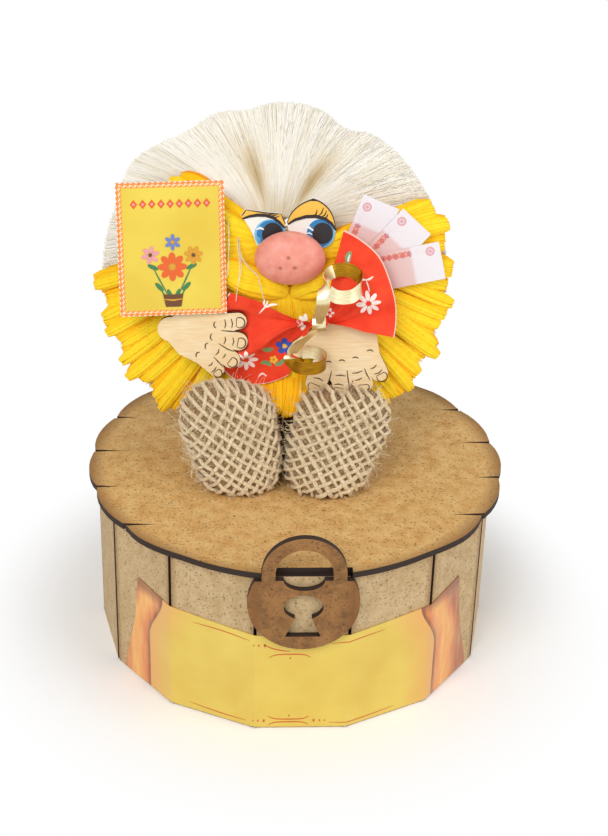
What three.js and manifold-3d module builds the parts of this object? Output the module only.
// A house-spirit doll that sits on the lift-off lid of a round box of laser-cut hardboard.
// Millimetres, +Z up. The origin is on the ground at the centre of the box, and the front faces -Y.
import * as THREE from 'three';
import { mergeVertices } from 'three/addons/utils/BufferGeometryUtils.js';
import Module from 'manifold-3d';

const wasm = await Module();
wasm.setup();
const { Manifold, Mesh: SolidMesh } = wasm;
const { cos, sin, tan, sqrt, abs, min, max, PI } = Math;
const radians = THREE.MathUtils.degToRad;

// Box: flat staves stand round a base disc, and a second disc is the lid.
const BOARD = 3;
const WALL_HEIGHT = 82;
const STAVE_COUNT = 14;
const WALL_APOTHEM = 89.5;
const STAVE_CLEARANCE = 0.05;
const GLUE = 0.15;
const GAP = 0.3;

// How far a cut surface may stray: little on boards, more on yarn, cloth and stuffing.
const FINE = 0.01;
const SOFT = 0.12;
const POCKET_GAP = 0.4;
const POCKET_FORWARDS = 25;

const RIM_WIDTH = 8.5;
const LOCATING_CLEARANCE = 0.5;

// Lid: round at the front and back, with worn plank ends at the sides.
const LID_OVERHANG = 0.5;
const PLANK_PITCH = 31;
const PLANK_BULGE = 2.6;
const PLANKS_FROM = 0.55;
const PLANKS_FADE = 0.2;
const FIRST_CRACK_LEFT = -54;
const FIRST_CRACK_RIGHT = -47;
const CRACKS_PER_SIDE = 4;
const CRACK_LENGTH = 12;
const CRACK_WIDTH = 1.2;
const NOTCH_CLEARANCE = 1.3;
const NOTCH_SHIFT = 1.2;
const NOTCH_BEHIND_WALL = 2.3;

// Padlock plate: a disc with a flat top, a half ring for the shackle, and a keyhole.
const LOCK_RADIUS = 24;
const LOCK_SHOULDER = 21;
const SHACKLE_OUTER = 18;
const SHACKLE_BAND = 5.8;
const SHACKLE_LEG = 3.2;
const SHACKLE_FLOOR_RISE = 0.3;
const DIP_HALF_WIDTH = 8.7;
const DIP_DEPTH = 5.2;
const KEY_HEAD_HALF_WIDTH = 8.5;
const KEY_HEAD_HALF_HEIGHT = 6.3;
const KEY_HEAD_DROP = 2;
const KEY_NECK_HALF_WIDTH = 3.6;
const KEY_FOOT_HALF_WIDTH = 7.7;
const KEY_FOOT_DROP = 17.3;

// Paper scroll glued round the front of the wall.
const PAPER = 0.35;
const SCROLL_LIFT = 1;
const SCROLL_HEIGHT = 51;
const SCROLL_END_RISE = 6;
const SCROLL_TOP_HALF = 84;
const SCROLL_WAIST_HALF = 87;
const SCROLL_BOTTOM_HALF = 95;
const SCROLL_WAIST_UP = 0.58;
const SCROLL_FOOT_UP = 0.08;

// Doll: it faces the viewer, turned a little on the lid. Heights below are above the lid.
const DOLL_TURN = -3.3;
const FAN_RADIUS = 79;
const FAN_X = -12;
const FAN_LEAN = 14;
const FAN_FOOT_Y = 12;
const FAN_LIFT = 2.3;
const FAN_EDGE = 4;
const FAN_HUB_THICKNESS = 11;
const FAN_LOBES = 21;
const FAN_SCALLOP = 1.6;
const FAN_PLEAT = 1.1;
const HAIR_HUB_X = -0.7;
const HAIR_HUB_RISE = 32;
const TIE_RADIUS = 10;
const TIE_DEPTH = 4;

// Nose: a painted bead, wider than it is tall.
const NOSE_HALF_WIDTH = 15.7;
const NOSE_HALF_HEIGHT = 12.4;
const NOSE_HALF_DEPTH = 9;
const NOSE_X = -5;
const NOSE_HEIGHT = 97;
const NOSE_Y = 12;

// Plates, cards and paper on the doll.
const EYE_CARD = 0.6;
const PLYWOOD = 3;
const HAND_LEAN = 14;
const HAND_Y = 2;
const HAND_BELOW_KNOT = 29.2;
const HAND_SIZE = 40;
const FINGER_NOTCH = 2.2;
const LABEL_WIDTH = 47.4;
const LABEL_HEIGHT = 59.7;
const LABEL_CARD = 0.6;
const LABEL_LEAN = 14;
const LABEL_TURN = 6;
const LABEL_SPIN = 2.3;
const LABEL_X = -56.2;
const LABEL_FOOT_Y = 4.5;
const LABEL_ABOVE_HAND = 30.3;
const EYES_WIDTH = 42.3;
const EYES_BEHIND_NOSE = 7;
const NOTE_WIDTH = 17;
const NOTE_LENGTH = 38.6;
const NOTE_PAPER = 0.4;
const NOTE_Y = 20;
const NOTE_BELOW_NOSE = 2;

// Bow of printed cotton, tied with gift ribbon.
const COTTON = 1.6;
const KNOT_X = 8.7;
const KNOT_Y = 3;
const KNOT_HEIGHT = 70;
const KNOT_RADIUS = 4;
const TIE_BAND = 1;
const BOW_LEAN = 12;
const BOW_RIGHT_REACH = 43;
const BOW_LEFT_REACH = 50;
const RIBBON_WIDTH = 6;
const RIBBON_THICKNESS = 0.5;
const CURL_RADIUS = 8;
const RIGHT_WING_FOLD = 1.5;
const LEFT_WING_FOLD = 1.8;
const LEFT_WING_BEHIND = 6.5;

// Feet: stuffed burlap on a flat backing board.
const FOOT_HEIGHT = 41.5;
const FOOT_HALF_WIDTH = 21.2;
const FOOT_HALF_DEPTH = 16;
const FOOT_Y = -21;
const FOOT_SETBACK = 14;
const LEFT_FOOT_X = -25.5;
const RIGHT_FOOT_X = 13.5;
const LEFT_FOOT_SWAY = -6;
const RIGHT_FOOT_SWAY = 7;
const FOOT_BOARD = 1.8;
const FOOT_BOARD_RISE = 2;
const FOOT_BOARD_HALF_HEIGHT = 18;
const FOOT_BOARD_LEAN = 22;
const FOOT_BOARD_BEHIND = 18.5;
const FOOT_BOARD_HALF_WIDTH = 19;

// Pad between the feet and the hair.
const CORE_X = -9;
const CORE_HEIGHT = 49;
const CORE_HALF_WIDTH = 25;
const CORE_FRONT_Y = -3;
const CORE_FRONT_SETBACK = 18;

// Moustache: one yarn bundle to each side from under the nose.
const MOUSTACHE_LEFT_HALF = 17;
const MOUSTACHE_RIGHT_HALF = 13;
const MOUSTACHE_HALF_DEPTH = 6.5;
const MOUSTACHE_FULLNESS = 0.53;
const MOUSTACHE_BEHIND_NOSE = 3.5;
const MOUSTACHE_BELOW_NOSE = 13;

// Yarn beard: loose bundles laid over the lower part of the hair.
const BEARD_HUB_X = -8;
const BEARD_HUB_BELOW_NOSE = 11;
const BEARD_INNER = 5;
const BEARD_OVERHANG = 1;
const BEARD_THICKNESS = 14;
const BEARD_EDGE = 5;
const BEARD_RIPPLE = 1.2;
const TUFT_LEFT_SHARE = 0.8;

// Sizes that follow from the ones above.
const STAVE_STEP = 2 * PI / STAVE_COUNT;
const STAVE_FACE = 2 * WALL_APOTHEM * tan(STAVE_STEP / 2);
const INNER_APOTHEM = WALL_APOTHEM - BOARD;
const STAVE_WIDTH = 2 * INNER_APOTHEM * tan(STAVE_STEP / 2) - 2 * STAVE_CLEARANCE;
const RIM_INNER = INNER_APOTHEM - RIM_WIDTH;
const BEARD_HUB_HEIGHT = NOSE_HEIGHT - BEARD_HUB_BELOW_NOSE;
const HAND_HEIGHT = KNOT_HEIGHT - HAND_BELOW_KNOT;
const LABEL_FOOT_HEIGHT = HAND_HEIGHT + LABEL_ABOVE_HAND;
const LID_RADIUS = WALL_APOTHEM + BOARD + LID_OVERHANG;
const LID_TOP = WALL_HEIGHT + BOARD;
const SHACKLE_INNER = SHACKLE_OUTER - SHACKLE_BAND;
const SHOULDER_Z = WALL_HEIGHT - GAP;
const SHACKLE_CENTRE_Z = WALL_HEIGHT + SHACKLE_LEG;
const LOCK_CENTRE_Z = SHOULDER_Z - sqrt(LOCK_RADIUS ** 2 - LOCK_SHOULDER ** 2);
const FAN_TILT = radians(FAN_LEAN);
const FAN_CENTRE_HEIGHT = FAN_LIFT + FAN_RADIUS * cos(FAN_TILT);
const fanY = (height) => FAN_FOOT_Y + height * tan(FAN_TILT);

const material = (color, roughness, metalness = 0) =>
  new THREE.MeshStandardMaterial({ color, roughness, metalness });
const hardboard = material('#b48a58', 0.75);
const parchment = material('#e8cf63', 0.6);
const sisal = material('#e6e0d0', 0.8);
const yarn = material('#f8c912', 0.95);
const jute = material('#b39a78', 0.95);
const stuffing = material('#6b4526', 0.95);
const noseFoam = material('#e58f84', 0.55);
const eyeCard = material('#f0b838', 0.4);
const cotton = material('#ee4026', 0.85);
const goldFoil = material('#c9a23c', 0.25, 1);
const plywood = material('#e2c699', 0.6);
const labelCard = material('#ead25a', 0.45);
const notePaper = material('#e3cfd2', 0.6);
const greyCard = material('#d9cdb4', 0.7);

// Joins points that coincide, drops the empty triangles that this leaves, and faces outwards.
function weld(geometry) {
  const bare = geometry.clone();
  bare.deleteAttribute('normal');
  bare.deleteAttribute('uv');
  const welded = mergeVertices(bare, 1e-4);
  const index = welded.index.array;
  const at = (i) => new THREE.Vector3().fromBufferAttribute(welded.attributes.position, i);
  const kept = [];
  let volume = 0;
  for (let i = 0; i < index.length; i += 3) {
    const [a, b, c] = index.slice(i, i + 3);
    if (a === b || b === c || c === a) continue;
    kept.push([a, b, c]);
    volume += at(a).dot(at(b).cross(at(c)));
  }
  welded.setIndex(kept.flatMap(([a, b, c]) => (volume > 0 ? [a, b, c] : [a, c, b])));
  return welded;
}

// Builds one closed body from points and polygons.
function closedBody(points, faces) {
  const triangles = faces.flatMap(([a, ...rest]) =>
    rest.slice(1).map((c, i) => [a, rest[i], c]));
  const raw = new THREE.BufferGeometry();
  raw.setAttribute('position', new THREE.Float32BufferAttribute(points.flat(), 3));
  raw.setIndex(triangles.flat());
  return weld(raw);
}

// A sheet with a front and a back, sampled at nu by nv places, closed all round its edge.
function slab(nu, nv, front, back, wrapped = false) {
  const points = [];
  for (const side of [front, back]) {
    for (let j = 0; j <= nv; j++) {
      for (let i = 0; i <= nu; i++) points.push(side((wrapped ? i % nu : i) / nu, j / nv));
    }
  }
  const row = nu + 1;
  const backStart = row * (nv + 1);
  const id = (i, j) => j * row + i;
  const faces = [];
  for (let j = 0; j < nv; j++) {
    for (let i = 0; i < nu; i++) {
      const quad = [id(i, j), id(i + 1, j), id(i + 1, j + 1), id(i, j + 1)];
      faces.push(quad, quad.map((k) => k + backStart).reverse());
    }
  }
  const wall = (a, b) => faces.push([b, a, a + backStart, b + backStart]);
  for (let i = 0; i < nu; i++) {
    wall(id(i, 0), id(i + 1, 0));
    wall(id(i + 1, nv), id(i, nv));
  }
  if (!wrapped) {
    for (let j = 0; j < nv; j++) {
      wall(id(0, j + 1), id(0, j));
      wall(id(nu, j), id(nu, j + 1));
    }
  }
  return closedBody(points, faces);
}

// A stuffed body that swells and tapers: rounded sections at the heights in stations.
function stuffed(stations, sides = 20) {
  const SQUARENESS = 2.3;
  const corner = (value) => Math.sign(value) * abs(value) ** (2 / SQUARENESS);
  const points = [];
  const faces = [];
  for (const { h, x, y, rx, ry } of stations) {
    for (let i = 0; i < sides; i++) {
      const angle = 2 * PI * i / sides;
      points.push([x + rx * corner(cos(angle)), y + ry * corner(sin(angle)), h]);
    }
  }
  for (let j = 0; j + 1 < stations.length; j++) {
    for (let i = 0; i < sides; i++) {
      const next = (i + 1) % sides;
      const low = j * sides;
      faces.push([low + i, low + next, low + sides + next, low + sides + i]);
    }
  }
  const ring = Array.from({ length: sides }, (_, i) => i);
  const last = (stations.length - 1) * sides;
  faces.push([...ring].reverse(), ring.map((i) => i + last));
  return closedBody(points, faces);
}

// Gives an outline its thickness; the outline may run either way round.
function extrude(shape, depth, curveSegments = 10) {
  const { shape: outline, holes } = shape.extractPoints(curveSegments);
  const forwards = THREE.ShapeUtils.isClockWise(outline) ? outline.reverse() : outline;
  const flat = new THREE.Shape(forwards);
  flat.holes = holes.map((hole) => new THREE.Path(hole));
  return weld(new THREE.ExtrudeGeometry(flat, { depth, bevelEnabled: false }));
}

function part(name, geometry, look) {
  const mesh = new THREE.Mesh(geometry, look);
  mesh.name = name;
  return mesh;
}

// The solid of a mesh in its group's frame, optionally grown by a gap on every side.
function solidOf(mesh, grow = 0) {
  const geometry = weld(mesh.geometry);
  geometry.computeBoundingBox();
  const centre = geometry.boundingBox.getCenter(new THREE.Vector3());
  const half = geometry.boundingBox.getSize(new THREE.Vector3()).multiplyScalar(0.5);
  geometry.translate(-centre.x, -centre.y, -centre.z);
  geometry.scale(1 + grow / half.x, 1 + grow / half.y, 1 + grow / half.z);
  geometry.translate(centre.x, centre.y, centre.z);
  mesh.updateMatrix();
  geometry.applyMatrix4(mesh.matrix);
  return new Manifold(new SolidMesh({
    numProp: 3,
    vertProperties: Float32Array.from(geometry.attributes.position.array),
    triVerts: Uint32Array.from(geometry.index.array),
  }));
}

// Takes cutters out of a mesh and keeps the largest piece that is left.
function cut(mesh, cutters, stray) {
  const largest = (solid) => solid.decompose().sort((a, b) => b.volume() - a.volume())[0];
  const left = cutters.reduce((solid, cutter) => solid.subtract(cutter), solidOf(mesh));
  const result = largest(largest(left).simplify(stray)).getMesh();
  const geometry = new THREE.BufferGeometry();
  geometry.setAttribute('position', new THREE.BufferAttribute(result.vertProperties, 3));
  geometry.setIndex(new THREE.BufferAttribute(result.triVerts, 1));
  mesh.updateMatrix();
  geometry.applyMatrix4(mesh.matrix.clone().invert());
  mesh.geometry = geometry;
  return mesh;
}

// Cuts neighbours, with a small gap round them, out of a stiff piece.
function carve(mesh, tools, gap = GAP) {
  const cutters = tools.flatMap((tool) => (gap > 0 ? [gap, 0] : [0]).map((g) => solidOf(tool, g)));
  return cut(mesh, cutters, FINE);
}

// Presses neighbours into a soft piece: each leaves a smooth pocket round its whole outline.
// A pocket may also run forwards, so that nothing soft is left in front of what lies on it.
function nestle(mesh, tools, forwards = 0) {
  const g = POCKET_GAP;
  const ways = [[g, 0, 0], [-g, 0, 0], [0, g, 0], [0, -g - forwards, 0], [0, 0, g], [0, 0, -g]];
  const pockets = tools.map((tool) => {
    const solid = solidOf(tool).hull();
    return Manifold.hull(ways.map((way) => solid.translate(way)));
  });
  return cut(mesh, pockets, SOFT);
}

// Stands a flat outline up, leaning back, with its own +Z towards the viewer.
function lean(mesh, degreesBack, spin = 0) {
  mesh.rotation.set(PI / 2 - radians(degreesBack), 0, radians(spin));
  return mesh;
}

// A regular outline with flat sides that match the staves.
function staveOutline(apothem) {
  const corner = apothem / cos(STAVE_STEP / 2);
  const shape = new THREE.Shape();
  for (let i = 0; i < STAVE_COUNT; i++) {
    const angle = -PI / 2 + (i + 0.5) * STAVE_STEP;
    const move = i ? 'lineTo' : 'moveTo';
    shape[move](corner * cos(angle), corner * sin(angle));
  }
  shape.closePath();
  return shape;
}

function makeBaseDisc() {
  return part('base_disc', extrude(staveOutline(INNER_APOTHEM - GLUE), BOARD), hardboard);
}

function makeStaves() {
  const radius = WALL_APOTHEM - BOARD / 2;
  return Array.from({ length: STAVE_COUNT }, (_, i) => {
    const angle = i * STAVE_STEP;
    const board = new THREE.BoxGeometry(STAVE_WIDTH, BOARD, WALL_HEIGHT);
    const stave = part(`stave_${String(i + 1).padStart(2, '0')}`, board, hardboard);
    stave.position.set(radius * sin(angle), -radius * cos(angle), WALL_HEIGHT / 2);
    stave.rotation.z = angle;
    return stave;
  });
}

function makeRimRing() {
  const outline = staveOutline(INNER_APOTHEM - GLUE);
  outline.holes.push(new THREE.Path().absarc(0, 0, RIM_INNER, 0, 2 * PI));
  const ring = part('rim_ring', extrude(outline, BOARD, 28), hardboard);
  ring.position.z = WALL_HEIGHT - BOARD;
  return ring;
}

function makeLockPlate() {
  const shape = new THREE.Shape();
  const shoulderAngle = Math.atan2(SHOULDER_Z - LOCK_CENTRE_Z, LOCK_SHOULDER);
  shape.moveTo(-LOCK_SHOULDER, SHOULDER_Z);
  shape.lineTo(-SHACKLE_OUTER, SHOULDER_Z);
  shape.absarc(0, SHACKLE_CENTRE_Z, SHACKLE_OUTER, PI, 0, true);
  shape.lineTo(SHACKLE_OUTER, SHOULDER_Z);
  shape.lineTo(LOCK_SHOULDER, SHOULDER_Z);
  shape.absarc(0, LOCK_CENTRE_Z, LOCK_RADIUS, shoulderAngle, -PI - shoulderAngle, true);

  const bow = new THREE.Path();
  const floorZ = SHOULDER_Z + SHACKLE_FLOOR_RISE;
  bow.moveTo(-SHACKLE_INNER, floorZ);
  bow.lineTo(-SHACKLE_INNER, SHACKLE_CENTRE_Z);
  bow.absarc(0, SHACKLE_CENTRE_Z, SHACKLE_INNER, PI, 0, true);
  bow.lineTo(SHACKLE_INNER, floorZ);
  bow.lineTo(DIP_HALF_WIDTH, floorZ);
  bow.absellipse(0, floorZ, DIP_HALF_WIDTH, DIP_DEPTH, 0, -PI, true);
  bow.closePath();

  const headZ = LOCK_CENTRE_Z - KEY_HEAD_DROP;
  const neckAngle = Math.acos(KEY_NECK_HALF_WIDTH / KEY_HEAD_HALF_WIDTH);
  const footZ = LOCK_CENTRE_Z - KEY_FOOT_DROP;
  const neckZ = headZ - KEY_HEAD_HALF_HEIGHT * sin(neckAngle);
  const keyhole = new THREE.Path();
  keyhole.moveTo(-KEY_FOOT_HALF_WIDTH, footZ);
  keyhole.lineTo(-KEY_NECK_HALF_WIDTH, neckZ);
  keyhole.absellipse(0, headZ, KEY_HEAD_HALF_WIDTH, KEY_HEAD_HALF_HEIGHT,
    PI + neckAngle, -neckAngle, true);
  keyhole.lineTo(KEY_FOOT_HALF_WIDTH, footZ);
  keyhole.closePath();

  shape.holes.push(bow, keyhole);
  const plate = part('lock_plate', extrude(shape, BOARD, 16), hardboard);
  plate.position.y = -WALL_APOTHEM - GLUE;
  return lean(plate, 0);
}

// A place on the outside of the wall, s along it from the front and out from its face.
function onWall(s, out) {
  const apothem = WALL_APOTHEM + out;
  const face = Math.round(s / STAVE_FACE);
  const along = (s - face * STAVE_FACE) * apothem / WALL_APOTHEM;
  const angle = face * STAVE_STEP;
  return [along * cos(angle) + apothem * sin(angle), along * sin(angle) - apothem * cos(angle)];
}

// Height of the scroll's upper edge: low in the middle, up at the rolls, slanting at the ends.
function scrollTop(s) {
  const reach = abs(s);
  const rise = SCROLL_END_RISE * min(1, reach / SCROLL_TOP_HALF) ** 2;
  const crest = SCROLL_HEIGHT + rise;
  if (reach <= SCROLL_TOP_HALF) return crest;
  if (reach <= SCROLL_WAIST_HALF) {
    const t = (reach - SCROLL_TOP_HALF) / (SCROLL_WAIST_HALF - SCROLL_TOP_HALF);
    return crest * (1 - (1 - SCROLL_WAIST_UP) * t);
  }
  const t = (reach - SCROLL_WAIST_HALF) / (SCROLL_BOTTOM_HALF - SCROLL_WAIST_HALF);
  return crest * (SCROLL_WAIST_UP - (SCROLL_WAIST_UP - SCROLL_FOOT_UP) * t);
}

function makeScroll() {
  const ends = [SCROLL_TOP_HALF, SCROLL_WAIST_HALF, SCROLL_BOTTOM_HALF];
  const half = [...ends];
  for (let s = STAVE_FACE / 4; s < SCROLL_BOTTOM_HALF; s += STAVE_FACE / 4) {
    const nearEnd = ends.some((end) => abs(end - s) < STAVE_FACE / 8);
    const isCorner = Math.round(s / STAVE_FACE * 4) % 4 === 2;
    if (isCorner || !nearEnd) half.push(s);
  }
  half.sort((a, b) => a - b);
  const columns = [...half.map((s) => -s).reverse(), 0, ...half];
  const place = (u, v, out) => {
    const s = columns[Math.round(u * (columns.length - 1))];
    return [...onWall(s, out), SCROLL_LIFT + v * (scrollTop(s) - SCROLL_LIFT)];
  };
  const sheet = slab(columns.length - 1, 2,
    (u, v) => place(u, v, GLUE + PAPER), (u, v) => place(u, v, GLUE));
  return part('scroll_banner', sheet, parchment);
}

// Distance from the axis to the lid's edge: plank ends bulge a little at both sides.
function lidEdge(angle) {
  const y = LID_RADIUS * sin(angle);
  const first = cos(angle) < 0 ? FIRST_CRACK_LEFT : FIRST_CRACK_RIGHT;
  const acrossPlank = abs(sin(PI * (y - first) / PLANK_PITCH));
  const side = THREE.MathUtils.clamp((abs(cos(angle)) - PLANKS_FROM) / PLANKS_FADE, 0, 1);
  return LID_RADIUS + PLANK_BULGE * side * sqrt(acrossPlank);
}

function makeLidPlate() {
  const STEPS = 128;
  const outline = new THREE.Shape();
  for (let i = 0; i < STEPS; i++) {
    const angle = 2 * PI * i / STEPS;
    const move = i ? 'lineTo' : 'moveTo';
    outline[move](lidEdge(angle) * cos(angle), lidEdge(angle) * sin(angle));
  }
  outline.closePath();
  const plate = part('lid_plate', extrude(outline, BOARD), hardboard);
  plate.position.z = WALL_HEIGHT;
  const tools = [];
  const deep = 3 * BOARD;
  for (const [side, first] of [[-1, FIRST_CRACK_LEFT], [1, FIRST_CRACK_RIGHT]]) {
    for (let i = 0; i < CRACKS_PER_SIDE; i++) {
      const y = first + i * PLANK_PITCH;
      const edge = sqrt(LID_RADIUS ** 2 - y ** 2);
      const length = CRACK_LENGTH * (i % 2 ? 0.8 : 1.1);
      const wedge = new THREE.Shape();
      wedge.moveTo(side * (edge - length), y);
      wedge.lineTo(side * (edge + 2 * PLANK_BULGE), y - CRACK_WIDTH);
      wedge.lineTo(side * (edge + 2 * PLANK_BULGE), y + CRACK_WIDTH);
      tools.push(part('crack', extrude(wedge, deep), hardboard));
    }
  }
  const notchBack = WALL_APOTHEM - NOTCH_BEHIND_WALL;
  const notch = new THREE.BoxGeometry(2 * (SHACKLE_OUTER + NOTCH_CLEARANCE),
    2 * (LID_RADIUS - notchBack), deep);
  notch.translate(NOTCH_SHIFT, -LID_RADIUS, deep / 2);
  tools.push(part('notch', notch, hardboard));
  for (const tool of tools) tool.position.z = WALL_HEIGHT - BOARD;
  return carve(plate, tools, 0);
}

function makeLocatingDisc() {
  const radius = RIM_INNER - LOCATING_CLEARANCE;
  const disc = new THREE.CylinderGeometry(radius, radius, BOARD, 64);
  disc.rotateX(PI / 2);
  const mesh = part('locating_disc', disc, hardboard);
  mesh.position.z = WALL_HEIGHT - BOARD / 2;
  return mesh;
}

// Half the hair's thickness, v of the way from its hub to its rim.
const hairHalf = (v) => (FAN_EDGE + (FAN_HUB_THICKNESS - FAN_EDGE) * (1 - v) ** 1.5) / 2;

// Hair: fibres spread from a hub into a pleated, trimmed disc that leans back.
function makeHairFan() {
  const rim = (angle) => FAN_RADIUS + FAN_SCALLOP * cos(FAN_LOBES * angle);
  const place = (u, v, side) => {
    const angle = 2 * PI * u;
    const reach = rim(angle);
    const x = HAIR_HUB_X + (reach * cos(angle) - HAIR_HUB_X) * v;
    const y = HAIR_HUB_RISE + (reach * sin(angle) - HAIR_HUB_RISE) * v;
    const pleat = FAN_PLEAT * sin(FAN_LOBES * angle) * min(1, 4 * v * (1 - v));
    return [x, y, side * (hairHalf(v) + pleat)];
  };
  const fan = slab(FAN_LOBES * 4, 5, (u, v) => place(u, v, 1), (u, v) => place(u, v, -1), true);
  const mesh = part('hair_fan', fan, sisal);
  mesh.position.set(FAN_X, fanY(FAN_CENTRE_HEIGHT), FAN_CENTRE_HEIGHT);
  return lean(mesh, FAN_LEAN);
}

// A flattened ball, used for the thread binding, the nose and the moustache.
function ball(name, look, rx, ry, rz, columns, rows) {
  const sphere = new THREE.SphereGeometry(1, columns, rows);
  sphere.rotateX(PI / 2);
  sphere.scale(rx, ry, rz);
  return part(name, sphere, look);
}

function makeHairTie(fan) {
  const tie = ball('hair_tie', jute, TIE_RADIUS, TIE_RADIUS, TIE_DEPTH, 20, 10);
  const height = FAN_CENTRE_HEIGHT + HAIR_HUB_RISE * cos(FAN_TILT);
  const behind = FAN_HUB_THICKNESS / 2 / cos(FAN_TILT);
  tie.position.set(FAN_X + HAIR_HUB_X, fanY(height) + behind, height);
  return carve(lean(tie, FAN_LEAN), [fan]);
}

// Body: a low stuffed pad that the feet, the hair and the beard are glued to.
function makeBodyCore() {
  const fanFront = (h) => fanY(h) - FAN_EDGE;
  const profile = [
    { up: GAP / CORE_HEIGHT, back: 0.11, wide: 0.8 },
    { up: 0.16, back: 0, wide: 0.96 },
    { up: 0.41, back: 0.11, wide: 1 },
    { up: 0.69, back: 0.44, wide: 0.92 },
    { up: 0.9, back: 0.78, wide: 0.68 },
    { up: 1, back: 1, wide: 0.36 },
  ].map(({ up, back, wide }) => {
    const h = up * CORE_HEIGHT;
    const front = CORE_FRONT_Y + back * CORE_FRONT_SETBACK;
    const behind = fanFront(h);
    return { h, x: CORE_X, y: (front + behind) / 2, rx: wide * CORE_HALF_WIDTH, ry: (behind - front) / 2 };
  });
  return part('body_core', stuffed(profile, 16), stuffing);
}

function makeNose() {
  const nose = ball('nose', noseFoam, NOSE_HALF_WIDTH, NOSE_HALF_DEPTH, NOSE_HALF_HEIGHT, 24, 16);
  nose.position.set(NOSE_X, NOSE_Y, NOSE_HEIGHT);
  return nose;
}

// Eyes: two cut-outs of printed card, round brows above and tucked under the nose below.
// Their outlines are shares of the width of the pair.
function makeEyes() {
  const left = new THREE.Shape();
  left.moveTo(-0.648, 0.371);
  left.lineTo(-0.603, 0.44);
  left.quadraticCurveTo(-0.426, 0.416, -0.22, 0.407);
  left.lineTo(-0.175, 0.305);
  left.lineTo(-0.201, 0.095);
  left.lineTo(-0.331, -0.024);
  left.lineTo(-0.48, 0.071);
  left.quadraticCurveTo(-0.53, 0.236, -0.648, 0.371);
  const right = new THREE.Shape();
  right.moveTo(-0.163, 0.305);
  right.bezierCurveTo(-0.128, 0.449, -0.014, 0.53, 0.109, 0.57);
  right.bezierCurveTo(0.26, 0.534, 0.345, 0.402, 0.352, 0.229);
  right.quadraticCurveTo(0.307, 0.142, 0.201, 0.123);
  right.lineTo(0.047, 0);
  right.lineTo(-0.095, 0.047);
  right.closePath();
  return [['eye_left', left], ['eye_right', right]].map(([name, shape]) => {
    const card = extrude(shape, EYE_CARD / EYES_WIDTH, 6);
    card.scale(EYES_WIDTH, EYES_WIDTH, EYES_WIDTH);
    const eye = part(name, card, eyeCard);
    eye.position.set(0, NOSE_Y + EYES_BEHIND_NOSE, NOSE_HEIGHT);
    return lean(eye, FAN_LEAN);
  });
}

// A hand of plywood: finger tips are arcs with notches between, and the wrist is an arc.
// Places, radii and notches are shares of HAND_SIZE, which is a hand's height.
function handShape(tips, wrist, before, after) {
  const arc = (shape, { x, y, r, points }) => {
    const turn = radians(points);
    shape.absarc(x, y, r, turn + PI / 2, turn - PI / 2, true);
  };
  const shape = new THREE.Shape();
  const arcEnd = ({ x, y, r, points }, side) => {
    const turn = radians(points) + side * PI / 2;
    return [x + r * cos(turn), y + r * sin(turn)];
  };
  shape.moveTo(...arcEnd(wrist, -1));
  for (const [x, y] of before) shape.lineTo(x, y);
  tips.forEach((tip, i) => {
    arc(shape, tip);
    const next = tips[i + 1];
    if (!next) return;
    const [ax, ay] = arcEnd(tip, -1);
    const [bx, by] = arcEnd(next, 1);
    const back = radians((tip.points + next.points) / 2);
    const depth = tip.notch ?? FINGER_NOTCH / HAND_SIZE;
    shape.lineTo((ax + bx) / 2 - depth * cos(back), (ay + by) / 2 - depth * sin(back));
  });
  for (const [x, y] of after) shape.lineTo(x, y);
  arc(shape, wrist);
  return shape;
}

function makeHands() {
  const leftTips = [
    { x: -0.938, y: 0.925, r: 0.103, points: 50, notch: 0.15 },
    { x: -0.69, y: 0.67, r: 0.095, points: 2 },
    { x: -0.682, y: 0.435, r: 0.103, points: -6 },
    { x: -0.765, y: 0.225, r: 0.103, points: -32 },
    { x: -0.925, y: 0.105, r: 0.088, points: -47 },
  ];
  const leftWrist = { x: -1.455, y: 0.555, r: 0.14, points: 172 };
  const rightTips = [
    { x: 0.915, y: 0.12, r: 0.1, points: -60 },
    { x: 0.745, y: -0.01, r: 0.108, points: -80 },
    { x: 0.495, y: -0.02, r: 0.11, points: -93 },
    { x: 0.205, y: -0.02, r: 0.12, points: -108, notch: 0.175 },
    { x: 0.012, y: 0.375, r: 0.105, points: -140 },
  ];
  const rightWrist = { x: 0.525, y: 0.75, r: 0.188, points: 92 };
  const left = handShape(leftTips, leftWrist, [], [[-1.15, 0.175], [-1.35, 0.268]]);
  const right = handShape(rightTips, rightWrist, [[0.862, 0.6], [0.91, 0.35]], [[0.175, 0.625]]);
  return [['left_hand', left], ['right_hand', right]].map(([name, shape]) => {
    const board = extrude(shape, PLYWOOD / HAND_SIZE, 6);
    board.scale(HAND_SIZE, HAND_SIZE, HAND_SIZE);
    const hand = part(name, board, plywood);
    hand.position.set(0, HAND_Y + PLYWOOD / 2, HAND_HEIGHT);
    return lean(hand, HAND_LEAN);
  });
}

function makeLabel() {
  const card = new THREE.BoxGeometry(LABEL_WIDTH, LABEL_HEIGHT, LABEL_CARD);
  card.translate(0, LABEL_HEIGHT / 2, 0);
  const label = part('label_card', card, labelCard);
  label.position.set(LABEL_X, LABEL_FOOT_Y, LABEL_FOOT_HEIGHT);
  lean(label, LABEL_LEAN, LABEL_SPIN);
  label.rotation.y = radians(LABEL_TURN);
  return label;
}

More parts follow.
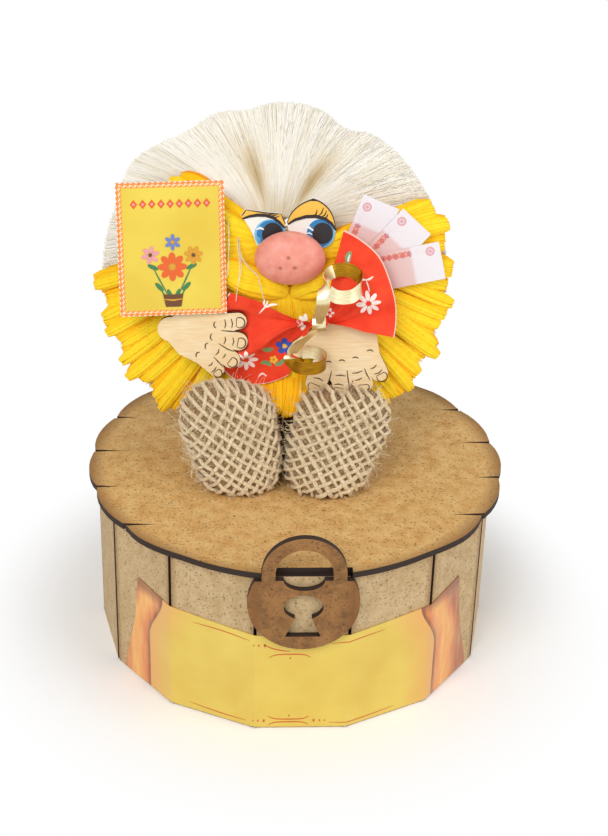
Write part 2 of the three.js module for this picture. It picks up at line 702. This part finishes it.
// Play notes fanned out like a hand of cards; each lies in front of the one before.
function makeNotes() {
  const fanned = [
    { across: 0.725, up: 0.179, points: 69 },
    { across: 0.992, up: 0.057, points: 49 },
    { across: 1.142, up: -0.117, points: 13 },
  ];
  const tilt = radians(FAN_LEAN);
  return fanned.map(({ across, up, points }, i) => {
    const rise = up * NOTE_LENGTH;
    const forward = i * 2 * NOTE_PAPER;
    const note = part(`banknote_${i + 1}`,
      new THREE.BoxGeometry(NOTE_LENGTH, NOTE_WIDTH, NOTE_PAPER), notePaper);
    note.position.set(across * NOTE_LENGTH, NOTE_Y + rise * sin(tilt) - forward * cos(tilt),
      NOSE_HEIGHT - NOTE_BELOW_NOSE + rise * cos(tilt) + forward * sin(tilt));
    return lean(note, FAN_LEAN, points);
  });
}

// One side of the bow: cotton gathered at the knot and spread in folds to its far edge.
function bowWing(name, { from, to, reach, folds, depth, setBack }) {
  const edge = new THREE.CatmullRomCurve3(reach.map((r, i) => new THREE.Vector3(i, r, 0)));
  const place = (u, v, side) => {
    const angle = radians(from + (to - from) * u);
    const along = KNOT_RADIUS + GAP + (edge.getPoint(u).y - KNOT_RADIUS - GAP) * v;
    const open = min(1, v * 1.6 + 0.12);
    const fold = depth * cos(2 * PI * folds * u) * min(1, v * 2);
    return [along * cos(angle), along * sin(angle) * open,
      side * COTTON / 2 + fold - setBack * min(1, v * 1.5)];
  };
  const wing = slab(16, 4, (u, v) => place(u, v, 1), (u, v) => place(u, v, -1));
  const mesh = part(name, wing, cotton);
  mesh.position.set(KNOT_X, KNOT_Y, KNOT_HEIGHT);
  return lean(mesh, BOW_LEAN);
}

function makeBow() {
  const right = bowWing('bow_right_wing',
    { from: -9, to: 71, reach: [0.79, 0.81, 0.86, 1, 0.93].map((r) => r * BOW_RIGHT_REACH),
      folds: 2.5, depth: RIGHT_WING_FOLD, setBack: 0 });
  const left = bowWing('bow_left_wing',
    { from: 164, to: 244, reach: [0.84, 0.93, 1, 0.94, 0.6].map((r) => r * BOW_LEFT_REACH),
      folds: 2, depth: LEFT_WING_FOLD, setBack: LEFT_WING_BEHIND });
  const ring = [
    [KNOT_RADIUS - TIE_BAND, -RIBBON_WIDTH / 2], [KNOT_RADIUS, -RIBBON_WIDTH / 2],
    [KNOT_RADIUS, RIBBON_WIDTH / 2], [KNOT_RADIUS - TIE_BAND, RIBBON_WIDTH / 2],
    [KNOT_RADIUS - TIE_BAND, -RIBBON_WIDTH / 2],
  ].map(([r, y]) => new THREE.Vector2(r, y));
  const tie = part('bow_tie', new THREE.LatheGeometry(ring, 20), goldFoil);
  tie.rotation.z = PI / 2;
  tie.position.set(KNOT_X, KNOT_Y, KNOT_HEIGHT);
  const middle = ball('bow_knot', cotton, RIBBON_WIDTH / 2 + 1, KNOT_RADIUS - TIE_BAND - GAP,
    KNOT_RADIUS - TIE_BAND - GAP, 16, 10);
  middle.position.copy(tie.position);
  return { left, right, tie, middle };
}

// A strip of ribbon along a curve; across says which way its width lies at each point.
function ribbon(name, path, steps = 30) {
  const curve = new THREE.CatmullRomCurve3(path.map(({ at }) => new THREE.Vector3(...at)));
  const widths = new THREE.CatmullRomCurve3(path.map(({ across }) => new THREE.Vector3(...across)));
  const place = (u, v, side) => {
    const centre = curve.getPoint(u);
    const tangent = curve.getTangent(u);
    const across = widths.getPoint(u);
    across.addScaledVector(tangent, -across.dot(tangent)).normalize();
    const out = tangent.clone().cross(across).normalize();
    centre.addScaledVector(across, (v - 0.5) * RIBBON_WIDTH);
    return centre.addScaledVector(out, side * RIBBON_THICKNESS / 2).toArray();
  };
  return part(name, slab(steps, 1, (u, v) => place(u, v, 1), (u, v) => place(u, v, -1)), goldFoil);
}

// Two curls of ribbon that start at the knot. Places are in curl radii from the knot.
function makeCurls() {
  const up = [0, 0.35, 1];
  const front = -(KNOT_RADIUS + 2 * RIBBON_THICKNESS) / CURL_RADIUS;
  const fromKnot = (x, y, z) =>
    [KNOT_X + CURL_RADIUS * x, KNOT_Y + CURL_RADIUS * y, KNOT_HEIGHT + CURL_RADIUS * z];
  const loop = (centre, turns, tip, across) => turns.map((degreesRound) => {
    const angle = radians(degreesRound);
    const reach = sin(angle);
    const [x, y, z] = centre;
    return {
      at: fromKnot(x + cos(angle), y + reach * cos(tip), z + reach * sin(tip)),
      across,
    };
  });
  const upper = [
    { at: fromKnot(0, front, 0.25), across: [1, 0, 0] },
    { at: fromKnot(0.075, front - 0.375, 1.125), across: [1, 0, 0] },
    { at: fromKnot(0.2, front - 0.563, 2), across: [1, 0.1, 0.3] },
    ...loop([1.25, -0.625, 2.75], [165, 120, 75, 30, -15, -60, -105, -140], radians(25), up),
  ];
  const lower = [
    { at: fromKnot(-0.125, front, -0.25), across: [0.6, 0, 1] },
    { at: fromKnot(-0.875, front - 0.5, -0.625), across: [0.5, 0, 1] },
    { at: fromKnot(-1.5, front - 0.75, -1.25), across: [0.2, 0, 1] },
    ...loop([-0.538, -1, -1.875], [210, 255, 300, 345, 390, 435, 470], 0, [0, 0.1, 1]),
  ];
  return [ribbon('ribbon_upper_curl', upper), ribbon('ribbon_lower_curl', lower)];
}

// Feet: bags of burlap, narrow on the lid, swelling upwards and leaning back.
function makeFeet() {
  const side = (foot, sway) => [
    { up: GAP / FOOT_HEIGHT, out: 0, back: 0, wide: 0.73, deep: 0.78 },
    { up: 0.15, out: 0.05, back: 0.04, wide: 0.85, deep: 0.94 },
    { up: 0.38, out: 0.4, back: 0.36, wide: 0.96, deep: 1 },
    { up: 0.62, out: 0.95, back: 0.64, wide: 1, deep: 0.94 },
    { up: 0.82, out: 1, back: 0.86, wide: 0.9, deep: 0.75 },
    { up: 0.94, out: 1, back: 0.96, wide: 0.64, deep: 0.5 },
    { up: 1, out: 1, back: 1, wide: 0.28, deep: 0.22 },
  ].map(({ up, out, back, wide, deep }) => ({
    h: up * FOOT_HEIGHT,
    x: foot + out * sway,
    y: FOOT_Y + back * FOOT_SETBACK,
    rx: wide * FOOT_HALF_WIDTH,
    ry: deep * FOOT_HALF_DEPTH,
  }));
  const feet = [
    ['left', LEFT_FOOT_X, LEFT_FOOT_SWAY],
    ['right', RIGHT_FOOT_X, RIGHT_FOOT_SWAY],
  ];
  return feet.map(([name, foot, sway]) => {
    const outline = new THREE.Shape().absellipse(0, 0, FOOT_BOARD_HALF_WIDTH, FOOT_BOARD_HALF_HEIGHT,
      0, 2 * PI);
    const board = part(`${name}_foot_board`, extrude(outline, FOOT_BOARD, 12), greyCard);
    board.position.set(foot + sway / 2, FOOT_Y + FOOT_BOARD_BEHIND,
      FOOT_BOARD_HALF_HEIGHT + FOOT_BOARD_RISE);
    return {
      foot: part(`${name}_foot`, stuffed(side(foot, sway)), jute),
      board: lean(board, FOOT_BOARD_LEAN),
    };
  });
}

// How far in front of the hair's middle a bundle lies at a place on its plane.
function onHair(x, y) {
  const dx = x - HAIR_HUB_X;
  const dy = y - HAIR_HUB_RISE;
  const a = dx ** 2 + dy ** 2;
  const b = HAIR_HUB_X * dx + HAIR_HUB_RISE * dy;
  const c = HAIR_HUB_X ** 2 + HAIR_HUB_RISE ** 2 - FAN_RADIUS ** 2;
  const v = min(1, a / (sqrt(b ** 2 - a * c) - b));
  return hairHalf(v) + FAN_PLEAT + GAP;
}

// A bundle of yarn: a wedge of the disc from the hub under the nose towards the trimmed rim.
// The share says how much of the way it covers.
function beardBundle(name, from, to, lumps, share) {
  const hubRise = (BEARD_HUB_HEIGHT - FAN_CENTRE_HEIGHT) / cos(FAN_TILT);
  const hub = [BEARD_HUB_X - FAN_X, hubRise];
  const rimReach = (angle) => {
    const along = hub[0] * cos(angle) + hub[1] * sin(angle);
    const square = along ** 2 - hub[0] ** 2 - hub[1] ** 2 + (FAN_RADIUS + BEARD_OVERHANG) ** 2;
    return -along + sqrt(square);
  };
  const place = (u, v, raised) => {
    const angle = radians(from + (to - from) * u);
    const rim = share * rimReach(angle) + BEARD_RIPPLE * cos(2 * PI * lumps * u);
    const reach = BEARD_INNER + (rim - BEARD_INNER) * v;
    const x = hub[0] + reach * cos(angle);
    const y = hub[1] + reach * sin(angle);
    return [x, y, onHair(x, y) + raised(u, v)];
  };
  const thick = (u, v) => {
    const lump = BEARD_RIPPLE * cos(2 * PI * lumps * u) * v;
    return BEARD_EDGE + (BEARD_THICKNESS - BEARD_EDGE) * (1 - v ** 3) + lump;
  };
  const bundle = slab(lumps * 3, 5, (u, v) => place(u, v, thick), (u, v) => place(u, v, () => 0));
  const mesh = part(name, bundle, yarn);
  mesh.position.set(FAN_X, fanY(FAN_CENTRE_HEIGHT), FAN_CENTRE_HEIGHT);
  return lean(mesh, FAN_LEAN);
}

function makeMoustache(name, side, halfLength, droop) {
  const halfHeight = halfLength * MOUSTACHE_FULLNESS;
  const lobe = ball(name, yarn, halfLength, MOUSTACHE_HALF_DEPTH, halfHeight, 20, 12);
  lobe.rotation.y = radians(droop);
  lobe.position.set(NOSE_X + side * halfLength, NOSE_Y + MOUSTACHE_BEHIND_NOSE,
    NOSE_HEIGHT - MOUSTACHE_BELOW_NOSE);
  return lobe;
}

function makeDoll() {
  const fan = makeHairFan();
  const tie = makeHairTie(fan);
  const nose = makeNose();
  const eyes = makeEyes().map((eye) => carve(eye, [nose]));
  const [leftHand, rightHand] = makeHands();
  const label = carve(makeLabel(), [leftHand]);
  const notes = makeNotes();
  const bow = makeBow();
  const curls = makeCurls().map((curl) => carve(curl, [nose, rightHand, bow.tie, bow.middle]));
  const feet = makeFeet();
  for (const { foot, board } of feet) {
    carve(board, [leftHand, rightHand]);
    nestle(foot, [leftHand, rightHand, board]);
  }
  const knot = [bow.tie, bow.middle];
  nestle(bow.right, [...knot, ...curls, rightHand]);
  nestle(bow.right, [nose], POCKET_FORWARDS);
  nestle(bow.left, [...knot, ...curls, bow.right, label]);
  nestle(bow.left, [nose, leftHand, rightHand], POCKET_FORWARDS);
  const boards = feet.flatMap(({ foot, board }) => [foot, board]);
  const laidOn = [nose, ...eyes, leftHand, rightHand, label, ...notes, bow.left, bow.right,
    ...knot, ...boards];
  const core = nestle(makeBodyCore(), laidOn, POCKET_FORWARDS);
  const moustache = [
    makeMoustache('moustache_left', -1, MOUSTACHE_LEFT_HALF, 20),
    makeMoustache('moustache_right', 1, MOUSTACHE_RIGHT_HALF, -15),
  ];
  nestle(moustache[0], [...laidOn, core], POCKET_FORWARDS);
  nestle(moustache[1], [...laidOn, core, moustache[0]], POCKET_FORWARDS);
  const bundles = [];
  for (const [name, from, to, lumps, share] of [
    ['beard_bottom', -122, -58, 7, 1],
    ['beard_left', 185, 237.5, 5, 1],
    ['beard_right', -57.5, 4, 6, 1],
    ['tuft_left', 142, 184.5, 4, TUFT_LEFT_SHARE],
    ['tuft_right', 4.5, 27.5, 3, 1],
  ]) {
    const bundle = beardBundle(name, from, to, lumps, share);
    bundles.push(nestle(bundle, [...laidOn, core, ...moustache], POCKET_FORWARDS));
  }
  const doll = new THREE.Group();
  doll.add(core, fan, tie, ...moustache, ...bundles, nose, ...eyes, leftHand, rightHand, label,
    ...notes, bow.left, bow.right, bow.middle, bow.tie, ...curls, ...boards);
  doll.position.z = LID_TOP;
  doll.rotation.z = radians(DOLL_TURN);
  return doll;
}

const box = new THREE.Group();
const lock = makeLockPlate();
const scroll = carve(makeScroll(), [lock]);
box.add(makeBaseDisc(), ...makeStaves(), makeRimRing(), lock, scroll);

const lid = new THREE.Group();
lid.add(makeLidPlate(), makeLocatingDisc(), makeDoll());

const domovoi = new THREE.Group();
domovoi.add(box, lid);
export default domovoi;
